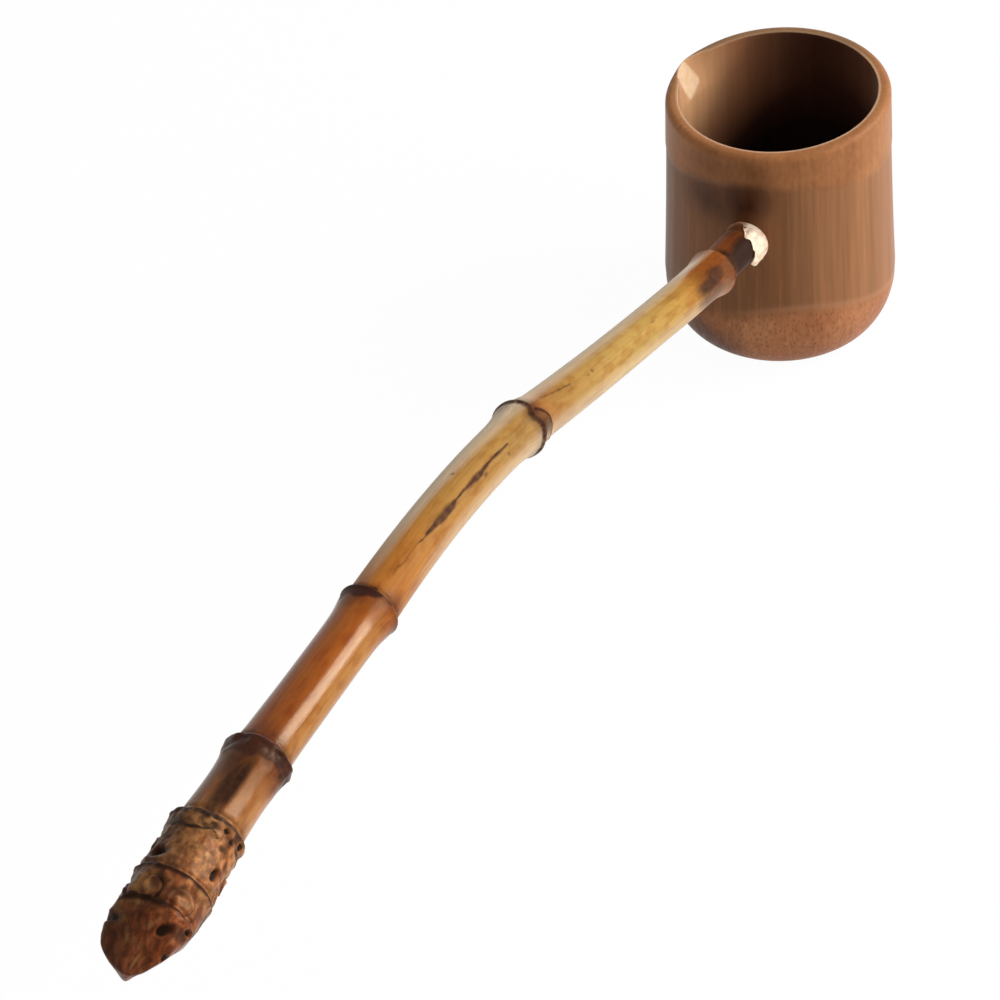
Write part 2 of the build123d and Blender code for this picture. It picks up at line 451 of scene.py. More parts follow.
def unrolled(places, turns, place, turn, radius):  # distances along and round the stem from a spot
    return places - place, np.radians(turnFrom(turns, turn)) * radius


def lineMask(places, turns, line, spread=1.0):  # 1 on a line that follows the stem
    best = np.zeros(len(places))
    radius, points = line
    for (placeA, turnA, wideA), (placeB, turnB, wideB) in zip(points, points[1:]):
        along, around = unrolled(places, turns, placeA, turnA, radius)
        run, rise = placeB - placeA, np.radians(turnB - turnA) * radius
        share = np.clip((along * run + around * rise) / (run**2 + rise**2), 0, 1)
        away = np.hypot(along - share * run, around - share * rise)
        wide = spread * (wideA + share * (wideB - wideA))
        best = np.maximum(best, ease(away / wide, 1.5, 0.5))
    return best


def carveNodes(places, turns, skin, masks):  # slow waves, the swollen node and the knobbly one
    rise = ease(places, *relief["waveStart"]) * relief["wave"] * lumps(skin, 6, seed=11, stretch=4)
    uneven = 0.75 + 0.25 * lumps(skin, 3, seed=12)
    rise += relief["swell"] * hump(places, relief["swellAt"], relief["swellRun"]) * uneven
    rise += relief["ridge"] * lineMask(places, turns, ridgeLine, relief["ridgeSpread"])
    band = hump(places, relief["knobsAt"], relief["knobsRun"])
    knobs = lumps(skin, 2.6, seed=13, stretch=0.8) + 0.5 * lumps(skin, 1.3, seed=17)
    # painted shade between the knobs, under the scar mark, and a painted highlight, partly wear, on them
    addMark(masks, "scar", band * ease(-knobs, -0.35, 0.45))
    addMark(masks, "highlightAndWear", 0.5 * band * ease(knobs, 0.45, 0.9))
    return rise + band * (relief["knobsLift"] + relief["knobs"] * knobs)


def carveRoot(places, turns, skin, masks):  # ruts and faint rings, with a gnarled band at the first node
    root = ease(places, *relief["rootStart"])
    ruts = lumps(skin, 4.2, seed=14) + 0.5 * lumps(skin, 1.9, seed=15)
    rough = 0.45 + 0.55 * ease(cosOf(turns - relief["roughTurn"]), -0.4, 0.6)
    rise = root * rough * (relief["ruts"] * ruts + relief["grit"] * lumps(skin, 0.95, seed=16))
    # painted shade in the ruts, under the scar mark, and a painted highlight, partly wear, on their ridges
    addMark(masks, "scar", root * 0.75 * ease(-ruts, 0.1, 0.8))
    addMark(masks, "highlightAndWear", root * 0.55 * ease(ruts, 0.25, 0.9))
    rings = (places + 0.5 * lumps(skin, 5, seed=28)) / relief["wrinklePitch"]
    rise += relief["wrinkle"] * root * np.sin(2 * math.pi * rings)
    # the gnarled band has painted shade in its creases and a painted highlight, partly wear, on its lumps
    shifted = places + 0.7 * lumps(skin, 2.4, seed=18)
    gnarls = lumps(skin, 2.9, seed=25, stretch=0.8) + 0.5 * lumps(skin, 1.3, seed=26)
    band = ease(shifted, *relief["gnarlsStart"]) * ease(shifted, *relief["gnarlsEnd"])
    addMark(masks, "creaseShade", 0.75 * band * ease(-gnarls, 0.0, 0.6))
    addMark(masks, "creaseShade", 0.9 * lineMask(shifted, turns, gnarlLine))
    addMark(masks, "highlightAndWear", 0.5 * band * ease(gnarls, 0.25, 0.9))
    return rise + band * (relief["gnarlsLift"] + relief["gnarls"] * gnarls)


def carveRootScars(places, turns, skin, masks):  # a ring, a groove round it and a hollow in it
    rise = np.zeros(len(places))
    ragged = 0.25 * lumps(skin, 1.7, seed=24)
    for place, turn, size, strength in rootScars:
        along, around = unrolled(places, turns, place, turn, relief["ringRadius"])
        away = np.hypot(along, around) + ragged
        shape = relief["ring"] * hump(away, size - 0.3, 0.5)
        shape -= relief["ringGroove"] * hump(away, size + 0.75, 0.5)
        rise += strength * (shape - relief["ringHollow"] * ease(away, size - 0.6, 0))
        # painted shade in the groove round each scar, stronger on one side, and a painted highlight, partly
        # wear, inside the ring
        side = ease(-around, -1.5, 1.5)
        addMark(masks, "creaseShade", strength * hump(away, size + 0.6, 0.45) * (0.25 + 0.75 * side))
        addMark(masks, "highlightAndWear", 0.5 * strength * ease(away, size + 0.1, size - 0.9))
    return rise


def carvePits(places, turns, skin, masks):  # depth of the pits, each with a low rim
    sunk = np.zeros(len(places))
    ragged = 0.15 * lumps(skin, 1.4, seed=23)
    for place, turn, long, wide, depth in pits:
        along, around = unrolled(places, turns, place, turn, relief["pitRadius"])
        away = np.hypot(along / long, around / wide) + ragged
        sunk += depth * ease(away, 1.15, 0.35) - relief["pitRim"] * hump(away, 1.35, 0.3)
        # painted shade in each pit, and a painted highlight, partly wear, on one side of its rim
        addMark(masks, "creaseShade", ease(away, 1.2, 0.5))
        addMark(masks, "highlightAndWear", 0.3 * hump(away, 1.5, 0.35) * ease(-around, 0.0, 1.8))
    return sunk


def markSheaths(places, turns, skin, masks):  # dark bands along the sheath scars
    root = ease(places, *relief["rootStart"])
    share = ease(cosOf(turns - stem["wideTurn"]), 0.3, 0.97)
    ragged = lumps(skin, 1.6, seed=20)
    for scar, node in zip(scars, nodePlaces):
        narrow, wide = scar["dark"], scar["darkWide"]
        width = narrow + (wide - narrow) * share
        away = places - scarLine(scar, node, turns) + (0.2 + 0.2 * wide) * ragged
        inScar = ease(away, -1.0, -0.3) * ease(away, width + 0.8, width - 0.6)
        addMark(masks, "scar", scar["depth"] * inScar)
        # painted shade deepens the scar bands on the root
        addMark(masks, "creaseShade", 0.85 * root * inScar)


def markBurns(places, turns, skin, masks):
    ragged = 0.18 * lumps(skin, 3, seed=22, stretch=3)
    for place, turn, long, wide, strength in burns:
        away = np.hypot((places - place) / long, turnFrom(turns, turn) / wide) + ragged
        addMark(masks, "burn", strength * ease(away, 1.25, 0.35))


def markLines(places, turns, skin, masks):
    torn = turns + 3.5 * lumps(skin, 0.9, seed=27, stretch=3.5)
    addMark(masks, "streak", lineMask(places, torn, streak))
    addMark(masks, "streak", 0.4 * lineMask(places, torn, streakEnd))
    addMark(masks, "streak", 0.6 * lineMask(places, turns, hairline))
    addMark(masks, "scar", 0.8 * lineMask(places, turns, ridgeLine))
    for place, turn, size in specks:
        along, around = unrolled(places, turns, place, turn, relief["speckRadius"])
        away = np.hypot(along / 1.6, around) / size
        addMark(masks, "streak", 0.6 * ease(away, 1.3, 0.4))


def carveStem(places, turns):  # radius, depth of the pits and the painted masks of every point
    radius = stemRadius(places, turns)
    skin = roundPoints(radius, turns, places)
    masks = {name: np.zeros(len(places)) for name in ("scar", "creaseShade", "burn", "streak", "highlightAndWear")}
    for carve in (carveNodes, carveRoot, carveRootScars):
        radius += carve(places, turns, skin, masks)
    for mark in (markSheaths, markBurns, markLines):
        mark(places, turns, skin, masks)
    return radius, carvePits(places, turns, skin, masks), masks


def cutTip(radius, places, turns, centre, side, up):  # knife flats with rounded edges
    point = stemFrame(np.array([tipPlace]))[0][0]
    outward = side * cosOf(turns)[:, None] + up * sinOf(turns)[:, None]
    near = places > tip["flatsStart"]
    weight = np.exp(-radius[near] / tip["edgeRound"])
    spots = centre[near] + outward[near] * tip["waveRadius"]
    farOff = 60.0  # past any radius of the stem
    for index, flat in enumerate(tip["flats"]):
        normal = np.array(flat) / np.linalg.norm(flat)
        facing = np.maximum(outward[near] @ normal, 1e-4)
        room = (point - centre[near]) @ normal + tip["wave"] * lumps(spots, tip["waveSize"], seed=30 + index)
        weight += np.exp(-np.clip(room / facing, 0, farOff) / tip["edgeRound"])
    cut = radius.copy()
    cut[near] = np.maximum(-tip["edgeRound"] * np.log(weight), tip["leastRadius"])
    # the point is worn blunt
    ending = np.clip((places - stemEnd) / tip["capRun"] + 1, 0, 1)
    return cut * np.sqrt(np.maximum(1 - ending**2, tip["capEnd"] ** 2)), outward


# Colours along the stem: place, screen colour
stemStops = [
    (0, (150, 108, 76)), (3, (112, 60, 26)), (19, (108, 54, 18)), (25, (140, 74, 22)), (33, (150, 80, 20)),
    (42, (158, 100, 32)), (56, (163, 124, 58)), (90, (166, 132, 68)), (130, (156, 116, 56)),
    (143, (144, 92, 36)), (149, (104, 58, 34)), (155, (160, 120, 62)), (170, (162, 120, 60)),
    (196, (162, 115, 54)), (214, (164, 107, 44)), (228, (158, 95, 34)), (233, (104, 54, 26)),
    (239, (142, 76, 22)), (262, (142, 74, 20)), (284, (130, 66, 20)), (291, (84, 38, 20)),
    (297, (120, 66, 28)), (310, (142, 88, 42)), (320, (186, 130, 82)), (328, (188, 132, 84)),
    (335, (170, 112, 72)), (346, (164, 95, 60)), (357, (152, 91, 62)),
]
# paintedSheen is the colour of a painted sheen along the upper stem's sides
stemTones = {
    "golden": (166, 112, 54), "amber": (166, 112, 62), "tan": (234, 216, 192), "paintedSheen": (228, 209, 182),
    "redPatch": (132, 64, 28), "olivePatch": (126, 96, 54), "darkFleck": (150, 120, 96),
    "paleFleck": (255, 240, 222),
}
# Painted masks, from the lowest: colour, the range over which each one shows, raggedness
# highlightAndWear is a painted highlight on raised spots, partly wear; creaseShade is painted shade in
# creases and pits
stemMarks = {
    "highlightAndWear": ((188, 136, 84), 0.15, 1.3, 0.7), "burn": ((32, 8, 1), 0.05, 1.05, 0.35),
    "streak": ((56, 18, 2), 0.0, 1.05, 1.0), "scar": ((44, 12, 4), 0.15, 0.95, 0.6),
    "creaseShade": ((26, 8, 2), 0.1, 0.9, 0.5),
}


def goldenSide(colour, place, right):  # the lower stem is paler on its right
    lower = within(place, 238, 246, 284, 292)
    colour = mixTone(times(fit(right, 0, 4), lower), colour, stemTones["golden"])
    beforeRoot = within(place, 297, 303, 309, 316)
    return mixTone(times(fit(right, 1, 6), beforeRoot), colour, stemTones["amber"])


# tan blotches, and a painted sheen along the sides of the upper stem
def blotchesAndPaintedSheen(colour, space, place, left, right):
    blotch = grain(space, 1, (0.42, 0.42, 0.16), 5)
    colour = mixTone(fit(blotch, 0.47, 0.66), colour, dyed(colour, stemTones["tan"]))
    # painted sheen: the upper stem is paler along two sides, in a narrower and paler strip at the left of
    # the collar
    collar = fit(place, 52, 38)
    left = calc("SUBTRACT", left, times(collar, 1.3))
    start = fit(place, 166, 198, 3.3, 4.7)
    full = fit(collar, 0, 1, 6, 4.4)
    paintedSheenLeft = fit(left, start, full, 0, fit(collar, 0, 1, 0.62, 1))
    paintedSheen = calc("MAXIMUM", paintedSheenLeft, fit(right, 3.4, 6.2, 0, 0.4))
    upper = within(place, 22, 32, 205, 234)
    return mixTone(times(paintedSheen, upper), colour, stemTones["paintedSheen"])


def rootTone(colour, space, place, right):  # red and olive patches, and fine flecks
    root = fit(place, 308, 318)
    patches = grain(space, 1, (0.26, 0.26, 0.26))
    for name, low, high, strength in [("redPatch", 0.52, 0.66, 0.7), ("olivePatch", 0.48, 0.36, 0.4)]:
        share = times(fit(patches, low, high), root, strength)
        colour = mixTone(share, colour, stemTones[name])
    flecks = grain(space, 1, (0.6, 0.6, 0.45), 4)
    flecked = mixTone(fit(flecks, 0.42, 0.62), stemTones["darkFleck"], stemTones["paleFleck"])
    colour = mixTone(times(root, 0.8), colour, dyed(colour, flecked))
    # painted shade darkens its left; near the point its right side is darker too
    nearPoint = fit(place, 328, 340, 1, 0.74)
    shade = times(fit(right, -6, 0.5, 0.42, 1), fit(right, 4, 8, 1, nearPoint))
    return mixTone(root, colour, dyed(colour, shade))


def markTone(tree, colour, space):
    rough = grain(space, 1, (1.1, 1.1, 0.5), 4)
    for name, (rgb, low, high, ragged) in stemMarks.items():
        level = plus(mask(tree, name), bothWays(rough, ragged))
        present = fit(mask(tree, name), 0, 0.12)
        colour = mixTone(times(fit(level, low, high), present), colour, rgb)
    return colour


def stemFinish():
    material, tree, shader = newFinish("stemBamboo")
    space = addNode(tree, "Attribute", attribute_name="stemSpace").outputs["Vector"]
    side, up, along = joinNode("SeparateXYZ", {0: space}).outputs
    # right is the +Y side, turned a little down, and left the other side, turned up
    right = calc("SUBTRACT", times(side, 0.84), times(up, 0.54))
    left = times(calc("SUBTRACT", up, side), 0.71)
    cloud = grain(space, 1, (0.16, 0.16, 0.045))
    place = plus(along, bothWays(cloud, 14))  # tones change along a wandering edge
    reach = 360
    colour = rampTone(fit(place, 0, reach), [(at / reach, rgb) for at, rgb in stemStops])
    colour = goldenSide(colour, place, right)
    colour = blotchesAndPaintedSheen(colour, space, place, left, right)
    colour = rootTone(colour, space, place, right)
    fibre = grain(space, 1, (1.6, 1.6, 0.03))
    thread = grain(space, 1, (5, 5, 0.12))
    colour = dyed(colour, fit(fibre, 0.3, 0.7, 0.86, 1.1), fit(thread, 0.35, 0.7, 0.93, 1.05))
    colour = markTone(tree, colour, space)
    # dry upper stem, polished lower stem, duller root and marks
    dull = plus(fit(along, 228, 240, 0.56, 0.18), fit(along, 308, 318, 0, 0.2),
                times(mask(tree, "scar"), 0.25), times(mask(tree, "creaseShade"), 0.3),
                fit(fibre, 0.3, 0.7, -0.03, 0.04))
    setSockets(shader, {
        "Base Color": colour, "Roughness": dull, "Specular IOR Level": 0.15,
        "Specular Tint": (1, 0.84, 0.58, 1),  # warm lacquer
        "Sheen Weight": 0.16, "Sheen Tint": (1, 0.9, 0.78, 1), "Sheen Roughness": 0.3,
        "Normal": bump(thread, 0.0001, 0.2),
    })
    return material


def stemTree():  # a ring swept along the path, each point with the number of its station
    tree, given = newTree("stemSweep", {"Sides": "Int", "Material": "Material"})
    index = addNode(tree, "InputIndex").outputs[0]
    sockets = {"Geometry": given["Geometry"], "Name": "station", "Value": index}
    marked = addNode(tree, "StoreNamedAttribute", sockets, domain="POINT")
    ring = addNode(tree, "CurvePrimitiveCircle", {"Resolution": given["Sides"], "Radius": 1.0})
    radius = addNode(tree, "InputRadius").outputs[0]
    sockets = {"Curve": marked.outputs[0], "Profile Curve": ring.outputs[0], "Scale": radius}
    sweep = addNode(tree, "CurveToMesh", {**sockets, "Fill Caps": True})
    endTree(tree, given, sweep.outputs[0])
    return tree


def makeStem(material):
    places = stemStations()
    centre, side, up = stemFrame(places)
    path = polyCurve("stemPath", centre * mm, stemRadius(places, np.zeros(len(places))) * mm)
    mesh = runTree(stemTree(), path, {"Sides": stem["sides"], "Material": material})
    points = readPoints(mesh)
    station = np.zeros(len(points), np.float32)
    mesh.attributes["station"].data.foreach_get("value", station)
    mesh.attributes.remove(mesh.attributes["station"])
    row = np.rint(station).astype(int)
    places, centre, side, up = places[row], centre[row], side[row], up[row]
    spoke = points - centre
    turns = np.degrees(np.arctan2((spoke * up).sum(1), (spoke * side).sum(1)))
    radius, sunk, masks = carveStem(places, turns)
    radius, outward = cutTip(radius, places, turns, centre, side, up)
    radius = np.maximum(radius - sunk, relief["leastLeft"] * radius)
    writePoints(mesh, centre + outward * radius[:, None])
    paint(mesh, {"stemSpace": roundPoints(radius, turns, places), **masks})
    print("stem swept:", len(mesh.polygons), "faces")
    return newObject("rootStem", mesh)


# Cup: one culm section. Angles go round it from the handle.
cup = {
    "height": 76.5, "hollowRadius": 27.9, "mouthRadius": 31.5, "waistRadius": 32.2, "waistHeight": 46.0,
    "bulgeRadius": 33.2, "bulgeHeight": 17.0, "footWidth": 8.2, "floor": 8.0, "floorRound": 8.0,
    "rimFall": 2.6, "rimFallAt": -76.0, "rimRound": 2.1, "rimEdge": 0.3, "shaving": 0.07,
    "mortiseRadius": 5.6, "mortiseReach": (-14.0, 12.0), "mortiseSides": 72, "segments": 288,
    "paleFrom": 28, "dullRimAt": -150, "insideLitMost": -96, "insideLitHigh": 125,  # angles of its colours
}
# Smooth bands under the rim and at the foot: each edge rises in one arch, and the skin steps up there
topBand = {"edge": 59.0, "rise": 7.6, "riseAt": 14, "spread": 52, "step": 0.22}
footBand = {"edge": 12.5, "rise": 10.5, "riseAt": 30, "spread": 50, "step": 0.16}
# Pour lip: a round gouge cut inside the rim, and the pale facet in it as corners of angle and height
lip = {"angle": -98.0, "foot": 64.0, "height": 11.0, "depth": 2.9, "halfWidth": 7.2, "wallStart": 60.0}
lipCorners = [(-80, 78), (-96, 78), (-100.5, 73.6), (-106.4, 68), (-105.5, 66.5), (-99, 64.4), (-93.7, 64.1)]
# Dark stains above the joint, and painted shadow on the foot under the handle: angle, height, half width in
# degrees, half height, strength
stainsAndShadow = [
    (4, 61.5, 14, 8.5, 0.95), (-12, 59.5, 22, 8.0, 0.6), (-3, 69, 26, 8.0, 0.5), (-30, 56, 18, 9.0, 0.3),
    # the last row is painted shadow on the foot under the handle
    (-21, 6, 26, 11, 0.8),
]


def lipCut(angle, height):
    across = np.radians(turnFrom(angle, lip["angle"])) * cup["hollowRadius"]
    rise = np.clip((height - lip["foot"]) / lip["height"], 0, 1.1)
    return lip["depth"] * rise * hump(across, 0, lip["halfWidth"])


def bandEdge(band, angle):
    return band["edge"] + band["rise"] * hump(turnFrom(angle, band["riseAt"]), 0, band["spread"])


def rimLean(radius, angle):  # the rim is sawn a little off square
    lean = cup["rimFall"] / (2 * cup["mouthRadius"])
    return -lean * radius * cosOf(angle - cup["rimFallAt"])


def arcPoints(centre, radii, start, end, count):
    turns = np.radians(np.linspace(start, end, count))
    return [(centre[0] + radii[0] * math.cos(t), centre[1] + radii[1] * math.sin(t)) for t in turns]


def linePoints(start, end, count):
    return list(np.linspace(start, end, count))


def outerRadius(height):  # side of the culm above the foot
    rows = [cup["bulgeHeight"], cup["waistHeight"], cup["height"]]
    radii = [cup["bulgeRadius"], cup["waistRadius"], cup["mouthRadius"]]
    return np.polyval(np.polyfit(rows, radii, 2), height)


def cupOutline():  # half section from the middle of the floor up, over the rim and down to the base
    hollow, floor, corner = cup["hollowRadius"], cup["floor"], cup["floorRound"]
    top, bulge, foot = cup["height"], cup["bulgeHeight"], cup["bulgeRadius"] - cup["footWidth"]
    edge, rim = cup["rimEdge"], cup["rimRound"]
    side = outerRadius(top - rim)
    outline = linePoints((0, floor), (hollow - corner, floor), 12)
    outline += arcPoints((hollow - corner, floor + corner), (corner, corner), -90, 0, 14)[1:]
    outline += linePoints((hollow, floor + corner), (hollow, top - edge), 84)[1:]
    outline += arcPoints((hollow + edge, top - edge), (edge, edge), 180, 90, 4)[1:]
    outline += linePoints((hollow + edge, top), (side - rim, top), 6)[1:]
    outline += arcPoints((side - rim, top - rim), (rim, rim), 90, 0, 10)[1:]
    outline += [(outerRadius(height), height) for height in np.linspace(top - rim, bulge, 112)[1:]]
    outline += arcPoints((foot, bulge), (cup["footWidth"], bulge), 0, -90, 34)[1:]
    outline += linePoints((foot, 0), (0, 0), 12)[1:]
    return np.array(outline)


def insidePolygon(angle, height, corners):  # distance inside a convex outline, negative outside
    scale = math.radians(1) * cup["hollowRadius"]
    first = corners[0][0]
    across = turnFrom(angle, first) * scale
    depth = np.full(len(across), np.inf)
    for (angleA, highA), (angleB, highB) in zip(corners, corners[1:] + corners[:1]):
        start, run, rise = (angleA - first) * scale, (angleB - angleA) * scale, highB - highA
        cross = (run * (height - highA) - rise * (across - start)) / math.hypot(run, rise)
        depth = np.minimum(depth, cross)
    return depth


def carveCup(points):
    radius, angle, height = roundPlaces(points)
    outside = (radius > cup["hollowRadius"] + 1.8) & (height > 0.5)  # neither the hollow nor the base
    overEdge = height - bandEdge(topBand, angle)
    growth = topBand["step"] * (ease(overEdge, -1.3, 1.3) - 0.5)
    growth += footBand["step"] * ease(bandEdge(footBand, angle) - height, -0.8, 0.8)
    growth += cup["shaving"] * lumps(points, 3.2, seed=21, stretch=14) * ease(overEdge, 1, -1)
    radius = np.where(outside, radius + growth * ease(height, 2, 9), radius)
    height = height + rimLean(radius, angle) * ease(height, 50, cup["height"] - 1.5)
    # the pour lip eats into the wall from the inside
    inner, outer = cup["hollowRadius"], outerRadius(np.clip(height, cup["bulgeHeight"], cup["height"]))
    wall = (radius > inner - 0.2) & (height > lip["wallStart"])
    left = np.clip((outer - radius) / (outer - inner), 0, 1)
    radius = np.where(wall, radius + lipCut(angle, height) * left, radius)
    return roundPoints(radius, angle, height)


def cupMasks(points):
    radius, angle, height = roundPlaces(points)
    overRim = height - cup["height"] - rimLean(radius, angle)
    edge = radius - cup["hollowRadius"] - lipCut(angle, height)  # how far out of the hollow
    facet = np.clip(insidePolygon(angle, height, lipCorners) / 0.5, 0, 1)
    masks = {"stainAndShadow": np.zeros(len(points))}
    for middle, high, wide, tall, strength in stainsAndShadow:
        away = np.hypot(turnFrom(angle, middle) / wide, (height - high) / tall)
        addMark(masks, "stainAndShadow", strength * ease(away, 1.5, 0.15))
    # painted light inside: palest at insideLitMost, where the light falls in, and lighter high up at
    # insideLitHigh
    litInside = hump(turnFrom(angle, cup["insideLitMost"]), 0, 49)
    litInside += 0.28 * hump(turnFrom(angle, cup["insideLitHigh"]), 0, 40) * ease(height, 52, 70)
    # paler from paleFrom round towards +Y: a sharp step of its own tone, then a broad ramp of painted light
    turn = turnFrom(angle, cup["paleFrom"])
    paleStart = 0.5 * ease(turn, -3.0, 3.0) + 0.5 * ease(turn, -12, 48)
    farSide = ease(cosOf(angle - cup["dullRimAt"]), 0.1, 0.7)
    overFoot = height - bandEdge(footBand, angle)
    return masks | {
        "inside": (edge < 0.15) & (height > cup["floor"] - 0.5),
        "lip": facet * (edge < 0.5) * (height > lip["wallStart"]),
        "rim": ease(overRim, -1.0, -0.1) * ease(edge, 1.0, 0.5) * (edge > 0.05),
        "farRim": ease(overRim, -1.6, -0.2) * (edge > 0.1) * farSide,
        "topBand": ease(height - bandEdge(topBand, angle), -2.2, 2.2),
        "footBand": ease(-overFoot, -2.6, 2.6),
        "footLine": hump(overFoot, 1.4, 1.1) * ease(turn, -50, 0),
        "paleAndLitSide": paleStart * ease(turn, 175, 130),
        # painted shade inside, towards the bottom and away from the painted light
        "insideShade": np.clip(0.75 * ease(height, 62, 20) + 0.8 * (1 - litInside), 0, 1),
    }


# Screen colours of the cup: two tones of each part, and single ones
cupTones = {
    "body": ((121, 77, 45), (141, 95, 61)), "band": ((144, 91, 53), (160, 108, 66)),
    "foot": ((150, 92, 58), (172, 114, 74)), "sawn": ((170, 130, 98), (188, 148, 116)),
    "facet": ((206, 170, 132), (218, 184, 152)), "footDot": (92, 48, 30), "footLine": (168, 118, 84),
    "stainAndShadow": (50, 16, 4), "farRim": (116, 88, 60),
}
# inside tones, from its painted light to its painted shade
pithStops = [(0, (184, 137, 97)), (0.35, (144, 96, 66)), (0.75, (60, 34, 25)), (1, (28, 15, 11))]


def cupFinish():
    material, tree, shader = newFinish("cupBamboo")
    places = addNode(tree, "TexCoord").outputs["Object"]
    fibre = grain(places, 900, (1, 1, 0.012))
    broad = grain(places, 240, (1, 1, 0.03))
    mottle = grain(places, 800, (1, 1, 0.5), 4)
    cloud = fit(grain(places, 60, (1, 1, 0.7)), 0.3, 0.7)
    dotPlaces = joinNode("Mapping", {"Vector": places, "Scale": (1, 1, 0.45)}).outputs[0]
    cells = joinNode("TexVoronoi", {"Vector": dotPlaces, "Scale": 1200}).outputs["Distance"]
    paleAndLitSide = mask(tree, "paleAndLitSide")
    # shaved middle, paler on one side: a step of its own tone, then a ramp of painted light
    colour = dyed(mixTone(paleAndLitSide, *cupTones["body"]),
                  fit(fibre, 0.32, 0.68, 0.89, 1.09), fit(broad, 0.3, 0.7, 0.88, 1.1))
    # smooth band and dotted foot, with frayed edges; painted light brightens the band on its darker side
    band = dyed(mixTone(cloud, *cupTones["band"]), fit(mottle, 0.3, 0.7, 0.88, 1.09),
                fit(fibre, 0.32, 0.68, 0.92, 1.06), fit(paleAndLitSide, 0, 1, 1.12, 0.96))
    foot = dyed(mixTone(cloud, *cupTones["foot"]), fit(mottle, 0.3, 0.7, 0.78, 1.13))
    dots = times(fit(cells, 0.18, 0.42, 1, 0), 0.42)
    foot = mixTone(dots, foot, cupTones["footDot"])
    ragged = bothWays(fibre, 0.8)
    for name, layer in [("topBand", band), ("footBand", foot)]:
        level = plus(mask(tree, name), ragged)
        colour = mixTone(fit(level, 0.05, 0.95), colour, layer)
    colour = mixTone(times(mask(tree, "footLine"), 0.4), colour, cupTones["footLine"])
    # stains above the joint, and painted shadow on the foot
    stainAndShadow = mask(tree, "stainAndShadow")
    patchy = bothWays(grain(places, 110, (1, 1, 0.6)), 0.9)
    patchy = plus(stainAndShadow, patchy, times(ragged, 0.4))
    stainedAndShaded = times(fit(patchy, 0.05, 1.05), fit(stainAndShadow, 0, 0.25))
    colour = mixTone(stainedAndShaded, colour, cupTones["stainAndShadow"])
    # inside with its painted light and shade, rim and the facet of the pour lip
    pith = rampTone(mask(tree, "insideShade"), pithStops)
    pith = dyed(pith, fit(broad, 0.3, 0.7, 0.85, 1.12))
    colour = mixTone(mask(tree, "inside"), colour, pith)
    sawn = mixTone(fit(cells, 0.2, 0.4), *cupTones["sawn"])
    colour = mixTone(mask(tree, "rim"), colour, sawn)
    colour = mixTone(times(mask(tree, "farRim"), 0.75), colour, cupTones["farRim"])
    facet = mixTone(fit(mottle, 0.3, 0.7), *cupTones["facet"])
    setSockets(shader, {
        "Base Color": mixTone(mask(tree, "lip"), colour, facet),
        "Roughness": fit(fibre, 0.3, 0.7, 0.4, 0.54), "Specular IOR Level": 0.15,
        "Specular Tint": (1, 0.9, 0.76, 1), "Sheen Weight": 0.15, "Sheen Roughness": 0.25,
        "Normal": bump(fibre, 0.00012, 0.4),
    })
    return material


def cupTree():  # the half section turned round the cup's axis on a thin core
    tree, given = newTree("cupTurn", {"Segments": "Int", "Core": "Float", "Material": "Material"})
    ring = addNode(tree, "CurvePrimitiveCircle", {"Resolution": given["Segments"], "Radius": given["Core"]})
    level = addNode(tree, "SetCurveNormal", {"Curve": ring.outputs[0]}, mode="Z_UP")
    turned = addNode(tree, "CurveToMesh", {"Curve": level.outputs[0], "Profile Curve": given["Geometry"]})
    closed = addNode(tree, "MergeByDistance", {"Geometry": turned.outputs[0], "Distance": 1e-6})
    endTree(tree, given, closed.outputs[0])
    return tree


def mortiseCutter():  # a closed prism along the tenon's axis
    sides, radius = cup["mortiseSides"], cup["mortiseRadius"]
    turn = np.tile(np.linspace(0, 2 * math.pi, sides, endpoint=False), 2)
    place = np.repeat(cup["mortiseReach"], sides)
    faces = [tuple(reversed(range(sides))), tuple(range(sides, 2 * sides))]
    for corner in range(sides):
        following = (corner + 1) % sides
        faces.append((corner, following, sides + following, sides + corner))
    return newMesh("mortiseCutter", atJoint(place, radius * np.cos(turn), radius * np.sin(turn)), faces)


def makeCup(material):
    core = 1.0
    outline = cupOutline()
    section = np.column_stack([outline[:, 0] - core, -outline[:, 1], np.zeros(len(outline))])
    mesh = runTree(cupTree(), polyCurve("cupSection", section * mm),
                   {"Segments": cup["segments"], "Core": core * mm, "Material": material})
    writePoints(mesh, carveCup(readPoints(mesh)))
    mesh = cutOut(mesh, mortiseCutter())
    paint(mesh, cupMasks(readPoints(mesh)))
    print("cup turned:", len(mesh.polygons), "faces")
    return newObject("culmCup", mesh)


# Putty bead round the tenon, outside the wall: a chunk on its +Y side. Its height along the tenon and its
# width on the wall go with the turn.
bead = {
    "inner": 5.3, "sides": 216, "section": 36, "lump": 0.75, "lumpRise": 1.65, "squareness": 0.7,
    "lean": 0.45, "sink": 0.25, "brownTop": 0.85, "brownTopRun": (72, 100),
    "turns": (-180, -110, -75, -50, -25, 15, 45, 62, 76, 92, 120, 150, 180),
    "heights": (0.8, 0.9, 1.4, 3.8, 6.8, 7.8, 6.6, 7.4, 5.6, 2.2, 1.2, 0.9, 0.8),
    "widths": (0.5, 0.6, 1.6, 2.3, 1.9, 1.2, 1.0, 0.9, 0.8, 0.7, 0.5, 0.5, 0.5),
}


def squared(swing):  # -1 to 1 as 0 to 1, fuller than round
    return 0.5 + 0.5 * np.sign(swing) * np.abs(swing) ** bead["squareness"]


